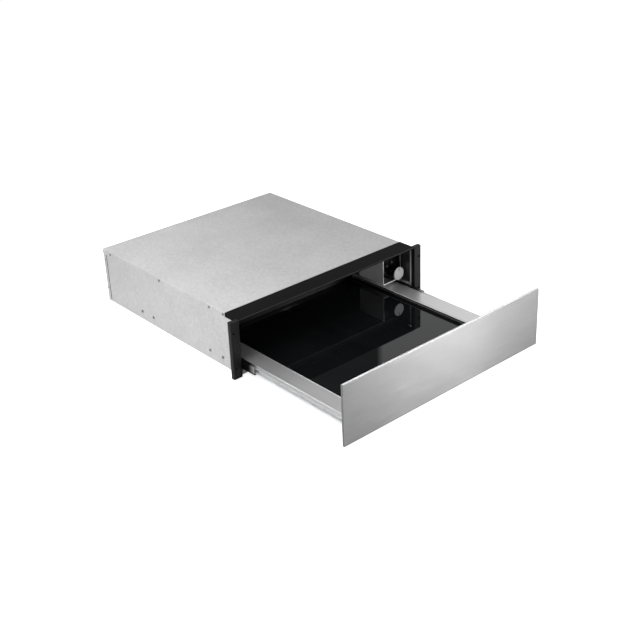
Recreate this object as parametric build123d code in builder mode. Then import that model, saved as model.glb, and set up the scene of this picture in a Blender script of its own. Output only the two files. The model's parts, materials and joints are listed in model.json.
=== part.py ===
from build123d import *
import os

# Built-in warming drawer for a 60 cm wide, 14 cm high niche, drawn out on its runners.
# X to the right, Y to the back, Z up. The origin is the middle of the casing's base.

# ---- driving dimensions, mm ----
overall_width = 594.0  # front panel
casing_width = 540.0
casing_depth = 545.0  # behind the front edges of the kitchen cabinet
casing_height = 141.0
sheet = 0.8  # galvanised casing sheet
bend = 1.2  # centreline radius of the sheet bends
cover_flange = 12.5
base_wall = 10.0

post_span = 585.0  # across the two posts, from outside to outside
post_width = 22.5
post_depth = 11.0
post_bottom = 1.5
post_top = 140.5
post_wall = 2.0
fixing_hole = 2.25  # radius, for the wood screws into the cabinet
fixing_heights = (28.0, 112.0)
fixing_inset = 7.5  # from the outside of the post
peg_heights = (52.0, 88.0)
peg_radius = 2.0

crossbar_depth = 40.0
crossbar_overhang = 11.0  # in front of the cabinet's edges
crossbar_height = 10.0
crossbar_lip = 4.5
crossbar_sheet = 1.2

cavity_depth = 418.0  # to the rear partition
ceiling_height = 112.0
liner_bottom = 46.0

drawer_open = 348.0  # from the latched position to the rest pose
drawer_length = 516.0
drawer_sheet = 1.0
flange_height = 36.0
flange_width = 41.8
side_bottom = 20.0
ledge_width = 14.0
glass_thickness = 4.0
glass_top = 27.0
drawer_back_height = 42.0

panel_height = 140.0
panel_bottom = 0.5
panel_depth = 5.0
panel_sheet = 1.0
latched_gap = 4.0  # between the panel and the posts, for the push that opens it
carrier_width = 500.0
carrier_margin = 13.0

runner_width = 12.7
runner_height = 27.0
runner_level = 28.0  # centre line of the runners
runner_sheet = 1.0
ball_radius = 1.1
ball_play = 0.2
cage_sheet = 0.4
cage_gap = 0.3
fixed_length = 500.0
middle_length = 380.0
middle_reach = 48.0  # the middle member stands this far out at rest
drawer_member_length = 420.0

control_width = 60.6
control_depth = 85.0
control_bottom = 45.0
control_setback = 35.0
control_sheet = 1.0
fascia_thickness = 3.0
knob_diameter = 33.4
knob_length = 28.0
knob_cap_thickness = 3.0
knob_inset = 33.3  # knob axis from the liner's right wall
knob_level = 76.5
shaft_radius = 3.0
running_gap = 0.05  # shafts in their bushes

fan_level = 79.0
wheel_radius = 26.0
wheel_depth = 14.0
blade_count = 12
heater_radius = 25.0
heater_tube = 2.5
chamber_width = 150.0
chamber_height = 62.0
chamber_depth = 44.0
fan_shaft_radius = 2.5

fit = 0.3  # gap between parts that don't touch

# ---- planes and levels that follow ----
front = -casing_depth / 2
back = casing_depth / 2
side_outer = casing_width / 2 - sheet
side_inner = side_outer - sheet
side_middle = side_outer - sheet / 2
cover_bottom = casing_height - sheet
liner_inner = side_inner - sheet
crossbar_bottom = casing_height - crossbar_height
crossbar_back = front + crossbar_depth
post_middle = post_span / 2 - post_width / 2
fixing_x = post_span / 2 - fixing_inset
post_front = front - post_depth
partition = front + cavity_depth
panel_back = post_front - latched_gap - drawer_open
panel_front = panel_back - panel_depth
panel_inner = panel_front + panel_sheet
carrier_back = panel_back + 2.0
drawer_front = carrier_back
drawer_end = drawer_front + drawer_length
drawer_outer = side_inner - runner_width
flange_inner = drawer_outer - flange_width
floor_level = glass_top - glass_thickness - 1.0
ledge_level = floor_level - 2 * drawer_sheet
chamber_front = partition + sheet
chamber_back = chamber_front + chamber_depth
control_left = liner_inner - control_width
control_front = front + control_setback
fascia_front = control_front + 0.6
knob_front = control_front - knob_length
knob_x = liner_inner - knob_inset


def bent_sheet(points, thickness=sheet, radius=bend):
    """Section of a folded sheet along its centreline."""
    with BuildLine(mode=Mode.PRIVATE) as path:
        FilletPolyline(*points, radius=radius)
    trace(path.line, thickness)


def other_side(piece):
    """The same piece for the left side."""
    with BuildPart() as copy:
        mirror(piece.part, about=Plane.YZ)
    return copy


# ---- casing ----
with BuildPart() as base_pan:
    with BuildSketch(Plane.XY):
        with Locations((0, -sheet / 2)):
            Rectangle(2 * side_inner, casing_depth - sheet)
    extrude(amount=base_wall)
    chamfer(base_pan.edges().filter_by(Axis.Z), 1.5)
    offset(amount=-sheet, openings=base_pan.faces().sort_by(Axis.Z)[-1])
    bead_length, bead_width, bead_rise = cavity_depth - 60, 14.0, 2.5
    with BuildSketch(Plane.XY.offset(sheet)):
        with Locations((0, front + cavity_depth / 2)):
            with GridLocations(125, 0, 4, 1):
                Rectangle(bead_width, bead_length)
    extrude(amount=bead_rise, taper=30)
    with BuildSketch(Plane.XY):
        with Locations((0, front + cavity_depth / 2)):
            with GridLocations(125, 0, 4, 1):
                Rectangle(bead_width - 2 * sheet, bead_length - 2 * sheet)
    extrude(amount=bead_rise, taper=30, mode=Mode.SUBTRACT)

strip_width = 12.7  # back panel's flange, seen beside the gap
joggle_start = back - strip_width - 2.3
screw_level = casing_height - 6.0
screw_places = [front + 46, front + 97, front + 294, back - 36]
rivet_level = 22.0
rivet_places = [front + 60, front + 108, front + 338, front + 386]
strip_screws = [36.0, 112.0]
cover_screw_radius, rivet_radius = 1.6, 2.0

with BuildPart() as side_panel_right:
    post_flange = post_span / 2 - 2.5
    with BuildSketch(Plane.XY):
        bent_sheet(
            [
                (post_flange, front + sheet / 2),
                (side_middle, front + sheet / 2),
                (side_middle, joggle_start),
                (side_middle - sheet, joggle_start + 1.8),
                (side_middle - sheet, back - 2 * sheet),
            ]
        )
    extrude(amount=crossbar_bottom)
    with BuildSketch(Plane.XZ.offset(-crossbar_back)):
        bent_sheet(
            [
                (side_middle, crossbar_bottom - 10),
                (side_middle, cover_bottom - sheet / 2),
                (side_middle - 12, cover_bottom - sheet / 2),
            ]
        )
    extrude(amount=-(joggle_start - crossbar_back))
    with BuildSketch(Plane.XZ.offset(-back)):  # the tongue stands on the base's wall
        with Locations((side_inner - 2 * sheet, 0)):
            Rectangle(4 * sheet, 2 * base_wall + 0.6)
    extrude(amount=back - joggle_start + 1, mode=Mode.SUBTRACT)
    with BuildSketch(Plane.XZ.offset(-front)):  # the flange stays behind the post
        with Locations((post_flange, 0)):
            Rectangle(2 * (post_flange - side_outer - bend), 2 * post_bottom + 6)
    extrude(amount=-sheet, mode=Mode.SUBTRACT)
    with BuildSketch(Plane.XZ.offset(-front)):
        with Locations(*[(fixing_x, z) for z in fixing_heights]):
            Circle(fixing_hole + 1.25)
        with Locations(*[(post_middle, z) for z in peg_heights]):
            RegularPolygon(peg_radius + 0.2, 6)
    extrude(amount=-sheet, mode=Mode.SUBTRACT)
    with BuildSketch(Plane.YZ.offset(side_inner - sheet)):
        with Locations(*[(y, rivet_level) for y in rivet_places]):
            RegularPolygon(rivet_radius + 0.1, 6)
        with Locations(*[(y, screw_level) for y in screw_places]):
            RegularPolygon(cover_screw_radius + 0.1, 6)
        with Locations(*[(back - strip_width / 2, z) for z in strip_screws]):
            RegularPolygon(cover_screw_radius + 0.1, 6)
    extrude(amount=3 * sheet, mode=Mode.SUBTRACT)
side_panel_left = other_side(side_panel_right)

gland_x, gland_z, gland_radius = 200.0, 30.0, 9.0
with BuildPart() as back_panel:
    with BuildSketch(Plane.XY):
        bent_sheet(
            [
                (-side_middle, back - strip_width),
                (-side_middle, back - sheet / 2),
                (side_middle, back - sheet / 2),
                (side_middle, back - strip_width),
            ]
        )
    extrude(amount=cover_bottom - sheet)
    with BuildSketch(Plane.XZ.offset(-back)):
        with Locations((gland_x, gland_z)):
            RegularPolygon(gland_radius + 0.1, 12)
        with Locations((0, fan_level)):
            with GridLocations(42, 9, 3, 6):
                Rectangle(34, 4)
    extrude(amount=sheet, mode=Mode.SUBTRACT)
    with BuildSketch(Plane.YZ.offset(-casing_width / 2)):
        with Locations(*[(back - strip_width / 2, z) for z in strip_screws]):
            RegularPolygon(cover_screw_radius + 0.1, 6)
    extrude(amount=casing_width, mode=Mode.SUBTRACT)

with BuildPart() as top_cover:
    cover_middle = casing_width / 2 - sheet / 2
    with BuildSketch(Plane.XZ.offset(-crossbar_back)):
        bent_sheet(
            [
                (-cover_middle, casing_height - cover_flange),
                (-cover_middle, casing_height - sheet / 2),
                (cover_middle, casing_height - sheet / 2),
                (cover_middle, casing_height - cover_flange),
            ]
        )
    extrude(amount=-(back - crossbar_back))
    with BuildSketch(Plane.YZ.offset(-casing_width / 2)):
        with Locations(*[(y, screw_level) for y in screw_places]):
            RegularPolygon(cover_screw_radius + 0.1, 6)
    extrude(amount=casing_width, mode=Mode.SUBTRACT)


def side_fasteners(seat, places, head_radius, head_height, shank_radius, shank_length):
    """Heads on the outside of both casing sides, each a separate solid with small flats."""
    for side in (-1, 1):
        plane = Plane(origin=(side * seat, 0, 0), x_dir=(0, side, 0), z_dir=(side, 0, 0))
        spots = [(side * y, z) for y, z in places]
        with BuildSketch(plane, mode=Mode.PRIVATE) as heads:
            with Locations(*spots):
                RegularPolygon(head_radius, 12)
        with BuildSketch(plane, mode=Mode.PRIVATE) as shanks:
            with Locations(*spots):
                RegularPolygon(shank_radius, 6)
        extrude(heads.sketch, amount=head_height, taper=25)
        extrude(shanks.sketch, amount=-shank_length)


with BuildPart() as cover_screws:
    side_fasteners(
        casing_width / 2, [(y, screw_level) for y in screw_places], 3.2, 1.4, cover_screw_radius, 5
    )
with BuildPart() as back_screws:
    side_fasteners(
        side_outer,
        [(back - strip_width / 2, z) for z in strip_screws],
        2.8,
        0.7,
        cover_screw_radius,
        4,
    )
with BuildPart() as runner_rivets:
    side_fasteners(
        side_outer,
        [(y, rivet_level) for y in rivet_places],
        4.0,
        1.6,
        rivet_radius,
        sheet + runner_sheet,
    )

# ---- black front frame ----
with BuildPart() as front_crossbar:
    half = crossbar_sheet / 2
    lip_front = front - crossbar_overhang
    with BuildSketch(Plane.YZ.offset(-casing_width / 2)):
        bent_sheet(
            [
                (lip_front + 6, casing_height - crossbar_lip + half),
                (lip_front + half, casing_height - crossbar_lip + half),
                (lip_front + half, casing_height - half),
                (crossbar_back - half, casing_height - half),
                (crossbar_back - half, crossbar_bottom),
            ],
            crossbar_sheet,
        )
    extrude(amount=casing_width)
    with BuildSketch(Plane.YZ.offset(-casing_width / 2)):
        with BuildLine():
            Polyline(
                (crossbar_back - half, crossbar_bottom),
                (front + 14, crossbar_bottom),
                (lip_front + 9, casing_height - crossbar_lip),
                (lip_front + 9, casing_height - half),
                (crossbar_back - half, casing_height - half),
                close=True,
            )
        make_face()
    extrude(amount=crossbar_sheet)
    mirror(about=Plane.YZ)

with BuildPart() as post_right:
    with BuildSketch(Plane.XZ.offset(-front)):
        with Locations((post_middle, (post_bottom + post_top) / 2)):
            Rectangle(post_width, post_top - post_bottom)
    extrude(amount=post_depth)
    chamfer(post_right.faces().sort_by(Axis.Y)[0].edges(), 1.0)
    with BuildSketch(Plane.XZ.offset(-front)):  # hollow back with cross ribs
        with Locations((post_middle, (post_bottom + post_top) / 2)):
            Rectangle(post_width - 2 * post_wall, post_top - post_bottom - 2 * post_wall)
    extrude(amount=post_depth - post_wall, mode=Mode.SUBTRACT)
    with BuildSketch(Plane.XZ.offset(-front)):
        for z in fixing_heights:
            with Locations((fixing_x, z)):
                Rectangle(2 * fixing_hole + 5, 2 * fixing_hole + 5)
        for z in (*peg_heights, 15, 40, 70, 100, 126):
            with Locations((post_middle, z)):
                Rectangle(post_width - 2 * post_wall, 1.6)
    extrude(amount=post_depth - post_wall)
    with BuildSketch(Plane.XZ.offset(-front)):
        with Locations(*[(post_middle, z) for z in peg_heights]):
            RegularPolygon(peg_radius, 6)
    extrude(amount=-2 * sheet)
    for z in fixing_heights:
        with Locations(Plane(origin=(fixing_x, post_front, z), z_dir=(0, -1, 0))):
            CounterSinkHole(fixing_hole, fixing_hole + 2.0, depth=post_depth)
post_left = other_side(post_right)

# ---- black cavity: folded liner and rear partition ----
loom_radius = 3.0
loom_x = knob_x
loom_level = ceiling_height + 3.3 + loom_radius
loom_rise = front + 100
terminal_y = front + 524
with BuildPart() as cavity_liner:
    wall_middle = side_inner - sheet / 2
    with BuildSketch(Plane.XZ.offset(-front - 3)):
        bent_sheet(
            [
                (-wall_middle, liner_bottom),
                (-wall_middle, ceiling_height - sheet / 2),
                (wall_middle, ceiling_height - sheet / 2),
                (wall_middle, liner_bottom),
            ]
        )
    extrude(amount=-(cavity_depth - 3))
    with BuildSketch(Plane.XY.offset(ceiling_height)):
        with Locations((loom_x, loom_rise + 4)):
            Rectangle(10, 22)
    extrude(amount=-sheet, mode=Mode.SUBTRACT)

with BuildPart() as rear_partition:
    with BuildSketch(Plane.YZ.offset(-side_inner + 1)):
        bent_sheet(
            [
                (back - sheet, liner_bottom + sheet / 2),
                (partition + sheet / 2, liner_bottom + sheet / 2),
                (partition + sheet / 2, cover_bottom - 1.2),
                (partition + 9, cover_bottom - 1.2),
            ]
        )
    extrude(amount=2 * side_inner - 2)
    with BuildSketch(Plane.XZ.offset(-partition)):
        for row in range(-3, 4):  # air inlet in front of the fan wheel
            with Locations((0, fan_level + 8 * row)):
                Rectangle(2 * (30**2 - (8 * row) ** 2) ** 0.5, 4)
        with Locations((0, fan_level)):
            Rectangle(5, 60, mode=Mode.SUBTRACT)
            with GridLocations(122, 11, 2, 5):  # air outlets either side
                Rectangle(18, 5)
        with Locations((loom_x, loom_level)):
            RegularPolygon(loom_radius + 1.5, 6)
    extrude(amount=-sheet, mode=Mode.SUBTRACT)
    with BuildSketch(Plane.XY.offset(liner_bottom)):
        with Locations((loom_x, terminal_y)):
            RegularPolygon(loom_radius + 1.5, 6)
    extrude(amount=sheet, mode=Mode.SUBTRACT)

# ---- control box in the right front corner of the cavity ----
with BuildPart() as control_housing:
    with BuildSketch(Plane.XY.offset(control_bottom)):
        with Locations((liner_inner - control_width / 2, control_front + control_depth / 2)):
            Rectangle(control_width, control_depth)
    extrude(amount=ceiling_height - bend - sheet - control_bottom)
    offset(
        amount=-control_sheet,
        openings=[
            control_housing.faces().sort_by(Axis.Y)[0],
            control_housing.faces().sort_by(Axis.Z)[-1],
        ],
    )

with BuildPart() as control_fascia:
    with BuildSketch(Plane.XZ.offset(-fascia_front)):
        left, right = control_left + control_sheet + 0.2, liner_inner - control_sheet - 0.2
        low, high = control_bottom + control_sheet + 0.2, ceiling_height - sheet - bend
        with Locations(((left + right) / 2, (low + high) / 2)):
            Rectangle(right - left, high - low)
        with Locations((knob_x, knob_level)):
            Circle(shaft_radius + 0.6, mode=Mode.SUBTRACT)
    extrude(amount=-fascia_thickness)

fascia_back = fascia_front + fascia_thickness
switch_size, switch_depth = 36.0, 26.0
knob_axis = Plane(origin=(knob_x, fascia_back, knob_level), z_dir=(0, -1, 0))
with BuildPart() as selector_switch:
    with BuildSketch(knob_axis):
        Rectangle(switch_size, switch_size)
    extrude(amount=-switch_depth)
    with BuildSketch(knob_axis.offset(-switch_depth)):
        with GridLocations(12, 16, 3, 2):
            Rectangle(0.8, 6.3)
    extrude(amount=-7)
    with BuildSketch(knob_axis):
        Circle(shaft_radius + running_gap)
    extrude(amount=-switch_depth + 4, mode=Mode.SUBTRACT)

with BuildPart() as selector_shaft:
    shaft_back = fascia_back + switch_depth - 5
    with BuildSketch(Plane.XZ.offset(-shaft_back)):
        with Locations((knob_x, knob_level)):
            Circle(shaft_radius)
    extrude(amount=shaft_back - knob_front - 10)

knob_back = control_front
with BuildPart() as knob_body:
    body_length = knob_length - knob_cap_thickness - 0.4
    with BuildSketch(Plane.XZ.offset(-knob_back + 0.4)):
        with Locations((knob_x, knob_level)):
            Circle(knob_diameter / 2 - 2.2)
    extrude(amount=body_length)
    with Locations(Plane(origin=(knob_x, knob_back - 0.4, knob_level), z_dir=(0, -1, 0))):
        Cylinder(
            shaft_radius + 0.02,
            knob_length - 10.4,
            align=(Align.CENTER, Align.CENTER, Align.MIN),
            mode=Mode.SUBTRACT,
        )

with BuildPart() as knob_cap:
    cap_plane = Plane(origin=(knob_x, knob_front + knob_cap_thickness, knob_level), z_dir=(0, -1, 0))
    with BuildSketch(cap_plane):
        Circle(knob_diameter / 2)
    extrude(amount=knob_cap_thickness)
    chamfer(knob_cap.faces().sort_by(Axis.Y)[0].edges(), 0.8)
    with BuildSketch(Plane.XZ.offset(-knob_front)):  # pointer groove
        with Locations((knob_x, knob_level + knob_diameter / 2 - 5)):
            Rectangle(1.6, 5)
    extrude(amount=-0.8, mode=Mode.SUBTRACT)

# ---- rear compartment: fan heater, electrics ----
heater_ends = 9.0  # the ring's two ends, either side of its middle
end_drop = (heater_radius**2 - heater_ends**2) ** 0.5
with BuildPart() as fan_chamber:
    with BuildSketch(Plane.XZ.offset(-chamber_front)):
        with Locations((0, fan_level)):
            Rectangle(chamber_width, chamber_height)
        chamfer(vertices(), 12)
    extrude(amount=-chamber_depth)
    offset(amount=-sheet, openings=fan_chamber.faces().sort_by(Axis.Y)[0])
    with BuildSketch(Plane.XZ.offset(-chamber_back)):
        with Locations((0, fan_level)):
            RegularPolygon(fan_shaft_radius + 2, 8)
        with Locations((-heater_ends, fan_level - end_drop), (heater_ends, fan_level - end_drop)):
            Circle(heater_tube + 0.1)
    extrude(amount=sheet, mode=Mode.SUBTRACT)

heater_plane = chamber_front + 32
with BuildPart() as heater_ring:
    end_angle = 90 - Vector(0, 1).get_angle(Vector(heater_ends, end_drop))
    ring_step = (180 + 2 * end_angle) / 12
    ring_points = [
        Vector(0, heater_plane, fan_level)
        + Vector(heater_radius, 0, 0).rotate(Axis.Y, end_angle - i * ring_step)
        for i in range(13)
    ]
    leg_back = chamber_back + 12
    ring_ends = [Vector(x, leg_back, fan_level - end_drop) for x in (heater_ends, -heater_ends)]
    with BuildLine() as ring_path:
        Polyline(ring_ends[0], *ring_points, ring_ends[1])
    with BuildSketch(Plane(origin=ring_ends[0], z_dir=(0, -1, 0))):
        Circle(heater_tube)
    sweep(transition=Transition.RIGHT)

wheel_back = chamber_front + 8 + wheel_depth
with BuildPart() as fan_wheel:
    with BuildSketch(Plane.XZ.offset(-wheel_back)):
        with Locations((0, fan_level)):
            RegularPolygon(wheel_radius, 24)
    extrude(amount=1.0)
    with BuildSketch(Plane.XZ.offset(-wheel_back)):
        for turn in range(blade_count):
            hub = Vector(0, fan_level)
            points = [Vector(9, 0), Vector(17.5, 0), Vector(wheel_radius - 1.5, 3)]
            turned = [hub + p.rotate(Axis.Z, turn * 360 / blade_count) for p in points]
            with BuildLine(mode=Mode.PRIVATE) as blade:
                Polyline(*turned)
            trace(blade.line, 0.8)
    extrude(amount=wheel_depth)
    with BuildSketch(Plane.XZ.offset(-wheel_back)):
        with Locations((0, fan_level)):
            Circle(7)
    extrude(amount=12)
    with BuildSketch(Plane.XZ.offset(-wheel_back)):
        with Locations((0, fan_level)):
            Circle(fan_shaft_radius + 0.02)
    extrude(amount=12, mode=Mode.SUBTRACT)

motor_front = chamber_back + 12
stack_depth, rotor_radius, bridge = 20.0, 12.5, 2.5
motor_back = motor_front + stack_depth
with BuildPart() as fan_shaft:
    with BuildSketch(Plane.XZ.offset(-motor_back - 9)):
        with Locations((0, fan_level)):
            Circle(fan_shaft_radius)
    extrude(amount=motor_back + 9 - (wheel_back - 14))
    with BuildSketch(Plane.XZ.offset(-motor_back + 0.5)):
        with Locations((0, fan_level)):
            Circle(rotor_radius)
    extrude(amount=stack_depth - 1)

with BuildPart() as fan_motor:
    with BuildSketch(Plane.XZ.offset(-motor_front)):
        with Locations((0, fan_level + 8)):
            Rectangle(60, 66)
        with Locations((0, fan_level)):
            Circle(rotor_radius + 0.4, mode=Mode.SUBTRACT)
        with Locations((0, fan_level + 28)):
            Rectangle(34, 14, mode=Mode.SUBTRACT)
    extrude(amount=-stack_depth)
    with BuildSketch(Plane.YZ.offset(-15)):  # coil on the upper leg of the stack
        with Locations(((motor_front + motor_back) / 2, fan_level + 36)):
            Rectangle(stack_depth + 12, 14)
    extrude(amount=30)

with BuildPart() as motor_bracket:
    for y, direction in ((motor_front, 1), (motor_back, -1)):
        with BuildSketch(Plane.XZ.offset(-y)):
            with Locations((0, fan_level)):
                Rectangle(60, 12)
                Rectangle(18, 18)
                Circle(fan_shaft_radius + running_gap, mode=Mode.SUBTRACT)
        extrude(amount=direction * bridge)
    with BuildSketch(Plane.XZ.offset(-motor_front + bridge)):  # standoffs to the chamber
        with Locations((-23, fan_level), (23, fan_level)):
            RegularPolygon(4, 6)
    extrude(amount=motor_front - bridge - chamber_back)

with BuildPart() as overheat_limiter:
    with BuildSketch(Plane.XZ.offset(-chamber_back)):
        with Locations((-52, fan_level + 12)):
            RegularPolygon(8, 16)
    extrude(amount=-10)
    with BuildSketch(Plane.XZ.offset(-chamber_back)):
        with Locations((-52, fan_level + 12)):
            Rectangle(30, 8)
    extrude(amount=-1.2)
    with BuildSketch(Plane.XZ.offset(-chamber_back - 10)):
        with Locations((-56, fan_level + 12), (-48, fan_level + 12)):
            Rectangle(0.8, 6.3)
    extrude(amount=-8)

with BuildPart() as terminal_block:
    with BuildSketch(Plane.XY.offset(sheet)):
        with Locations((loom_x, terminal_y)):
            Rectangle(42, 26)
    extrude(amount=22)
    chamfer(terminal_block.edges().filter_by(Axis.X).group_by(Axis.Z)[-1], 4)
    with BuildSketch(Plane.XY.offset(sheet + 22)):
        with Locations((loom_x, terminal_y)):
            with GridLocations(14, 0, 3, 1):
                Rectangle(5, 5)
    extrude(amount=-12, mode=Mode.SUBTRACT)

gland_bore = 4.0
with BuildPart() as cable_gland:
    gland_axis = Plane(origin=(gland_x, back, gland_z), z_dir=(0, 1, 0))
    with BuildSketch(gland_axis):
        RegularPolygon(gland_radius + 3, 6)
    extrude(amount=4)
    with BuildSketch(gland_axis.offset(4)):
        RegularPolygon(gland_radius, 12)
    extrude(amount=8)
    with BuildSketch(gland_axis):
        RegularPolygon(gland_radius, 12)
    extrude(amount=-10)
    with BuildSketch(gland_axis.offset(-sheet)):
        RegularPolygon(gland_radius + 3, 6)
    extrude(amount=-3)
    with BuildSketch(gland_axis.offset(12)):
        Circle(gland_bore)
    extrude(amount=-22, mode=Mode.SUBTRACT)

# wiring loom: from the selector switch through the ceiling to the terminal block
loom_start = fascia_back + switch_depth + 8
loom_route = [
    (loom_x, loom_start, knob_level),
    (loom_x, loom_rise, knob_level),
    (loom_x, loom_rise, loom_level),
    (loom_x, terminal_y, loom_level),
    (loom_x, terminal_y, sheet + 22),
]
loom_bends = [16.0, 16.0, 28.0]
with BuildPart() as wire_loom:
    with BuildLine() as loom_path:
        FilletPolyline(*loom_route, radius=loom_bends)
    with BuildSketch(Plane(origin=loom_route[0], z_dir=(0, 1, 0))):
        RegularPolygon(loom_radius, 8, rotation=22.5)
    sweep()

with BuildPart() as loom_clips:
    for y in (front + 160, front + 260, front + 360):
        with BuildSketch(Plane.XZ.offset(-y)):
            with Locations((loom_x, loom_level)):
                RegularPolygon(loom_radius + 1.8, 8, rotation=22.5)
            with Locations((loom_x, ceiling_height + 1.4)):
                Rectangle(16, 2.8)
            with Locations((loom_x, loom_level)):
                RegularPolygon(loom_radius + 0.1, 8, rotation=22.5, mode=Mode.SUBTRACT)
        extrude(amount=-8)

# ---- telescopic ball-bearing runners, right side ----
# u runs from the casing wall to the drawer, v up from the runner's centre line
web = runner_sheet / 2
fixed_lip = runner_height / 2 - runner_sheet
ball_gap = 2 * (ball_radius + ball_play)
middle_lip = fixed_lip - ball_gap
drawer_lip = middle_lip - runner_sheet - ball_gap
outer_row = fixed_lip - ball_gap / 2
inner_row = middle_lip - runner_sheet - ball_gap / 2
outer_row_u, inner_row_u = 3.9, 8.0
middle_web = runner_sheet + 2 * cage_gap + cage_sheet


def runner_point(u, v):
    return (side_inner - u, runner_level + v)


def channel(web_u, lip_v, tip_u, tip_v):
    """Centreline of a C section: web, two lips, and tips that hold the balls in."""
    half_section = [(tip_u, tip_v), (tip_u, lip_v), (web_u, lip_v)]
    lower = [(u, -v) for u, v in half_section]
    return [runner_point(u, v) for u, v in half_section + lower[::-1]]


def runner_member(section, start, length):
    with BuildSketch(Plane.XZ.offset(-start), mode=Mode.PRIVATE) as outline:
        bent_sheet(section, runner_sheet, 0.6)
    extrude(outline.sketch, amount=-length)


fixed_start = front + 6
with BuildPart() as runner_fixed_right:
    lip = fixed_lip + web
    runner_member(channel(web, lip, outer_row_u + 2.0, lip - 1.1), fixed_start, fixed_length)
    with BuildSketch(Plane.YZ.offset(side_inner - runner_sheet)):
        with Locations(*[(y, rivet_level) for y in rivet_places]):
            RegularPolygon(rivet_radius + 0.1, 6)
    extrude(amount=runner_sheet, mode=Mode.SUBTRACT)
runner_fixed_left = other_side(runner_fixed_right)

middle_start = front - middle_reach
with BuildPart() as runner_middle_right:
    lip = middle_lip - web
    runner_member(
        channel(middle_web + web, lip, inner_row_u + 2.2, lip - 1.1), middle_start, middle_length
    )
runner_middle_left = other_side(runner_middle_right)

drawer_member_start = drawer_front + 6
with BuildPart() as runner_drawer_right:
    lip = drawer_lip - web
    runner_member(
        channel(runner_width - web, lip, inner_row_u - 2.1, lip + 1.1),
        drawer_member_start,
        drawer_member_length,
    )
runner_drawer_left = other_side(runner_drawer_right)


def ball_cage(web_u, row_v, arm_u, row_u, start, length, pitch, count):
    """A folded strip with a row of holes in each arm."""
    arms = [(arm_u, row_v), (web_u, row_v), (web_u, -row_v), (arm_u, -row_v)]
    with BuildSketch(Plane.XZ.offset(-start), mode=Mode.PRIVATE) as outline:
        bent_sheet([runner_point(u, v) for u, v in arms], cage_sheet, 0.4)
    extrude(outline.sketch, amount=-length)
    with Locations((side_inner - row_u, start + length / 2, runner_level)):
        with GridLocations(0, pitch, 1, count):
            Box(2 * ball_radius + 0.3, 2 * ball_radius + 0.3, 2 * row_v + 2, mode=Mode.SUBTRACT)


def ball_rows(row_v, row_u, start, length, pitch, count):
    """Two rows of balls, each a cube with all edges cut back, small as they are."""
    for v in (-row_v, row_v):
        with Locations((side_inner - row_u, start + length / 2, runner_level + v)):
            with GridLocations(0, pitch, 1, count):
                Box(2 * ball_radius, 2 * ball_radius, 2 * ball_radius)
    chamfer(edges(), 0.58 * ball_radius)


outer_cage = dict(start=front + 40, length=240.0, pitch=70.0, count=4)
inner_cage = dict(start=front - 36, length=90.0, pitch=26.0, count=4)
with BuildPart() as outer_cage_right:
    outer_web = runner_sheet + cage_gap + cage_sheet / 2
    ball_cage(outer_web, outer_row, outer_row_u + 2.1, outer_row_u, **outer_cage)
with BuildPart() as outer_balls_right:
    ball_rows(outer_row, outer_row_u, **outer_cage)
with BuildPart() as inner_cage_right:
    inner_web = middle_web + runner_sheet + cage_gap + cage_sheet / 2
    ball_cage(inner_web, inner_row, inner_row_u + 2.2, inner_row_u, **inner_cage)
with BuildPart() as inner_balls_right:
    ball_rows(inner_row, inner_row_u, **inner_cage)
outer_cage_left = other_side(outer_cage_right)
outer_balls_left = other_side(outer_balls_right)
inner_cage_left = other_side(inner_cage_right)
inner_balls_left = other_side(inner_balls_right)

# ---- drawer ----
with BuildPart() as drawer_side_right:
    half = drawer_sheet / 2
    with BuildSketch(Plane.XZ.offset(-drawer_front)):
        bent_sheet(
            [
                (flange_inner - ledge_width, ledge_level + half),
                (flange_inner + half, ledge_level + half),
                (flange_inner + half, flange_height - half),
                (drawer_outer - half, flange_height - half),
                (drawer_outer - half, side_bottom),
            ],
            drawer_sheet,
        )
    extrude(amount=-drawer_length)
drawer_side_left = other_side(drawer_side_right)

floor_front, floor_back = drawer_front + 1, drawer_end - 2
with BuildPart() as drawer_floor:
    with BuildSketch(Plane.XY.offset(ledge_level + drawer_sheet)):
        with Locations((0, (floor_front + floor_back) / 2)):
            Rectangle(2 * (flange_inner - bend), floor_back - floor_front)
    extrude(amount=drawer_sheet)

pad_thickness = glass_top - glass_thickness - floor_level
glass_front, glass_back = drawer_front + 3, drawer_end - 5
with BuildPart() as glass_plate:
    with BuildSketch(Plane.XY.offset(glass_top - glass_thickness)):
        with Locations((0, (glass_front + glass_back) / 2)):
            RectangleRounded(2 * (flange_inner - 2 * fit), glass_back - glass_front, 4)
    extrude(amount=glass_thickness)
    chamfer(glass_plate.faces().sort_by(Axis.Z)[-1].edges(), 0.5)

with BuildPart() as glass_pads:
    with BuildSketch(Plane.XY.offset(floor_level)):
        with Locations((0, (glass_front + glass_back) / 2)):
            with GridLocations(170, 340, 3, 2):
                RegularPolygon(9, 12)
    extrude(amount=pad_thickness)

with BuildPart() as drawer_back:
    wall = drawer_end - drawer_sheet / 2
    with BuildSketch(Plane.YZ.offset(-flange_inner + bend)):
        bent_sheet(
            [
                (wall, ledge_level + drawer_sheet),
                (wall, drawer_back_height - drawer_sheet / 2),
                (wall - 8, drawer_back_height - drawer_sheet / 2),
            ],
            drawer_sheet,
        )
    extrude(amount=2 * (flange_inner - bend))

# ---- front panel on its carrier ----
with BuildPart() as front_panel:
    with BuildSketch(Plane.XZ.offset(-panel_back)):
        with Locations((0, panel_bottom + panel_height / 2)):
            Rectangle(overall_width, panel_height)
    extrude(amount=panel_depth)
    fillet(front_panel.edges().filter_by(Axis.Y), 0.8)
    fillet(front_panel.faces().sort_by(Axis.Y)[0].edges(), 0.6)
    offset(
        amount=-panel_sheet,
        openings=front_panel.faces().sort_by(Axis.Y)[-1],
        kind=Kind.INTERSECTION,
    )

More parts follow.
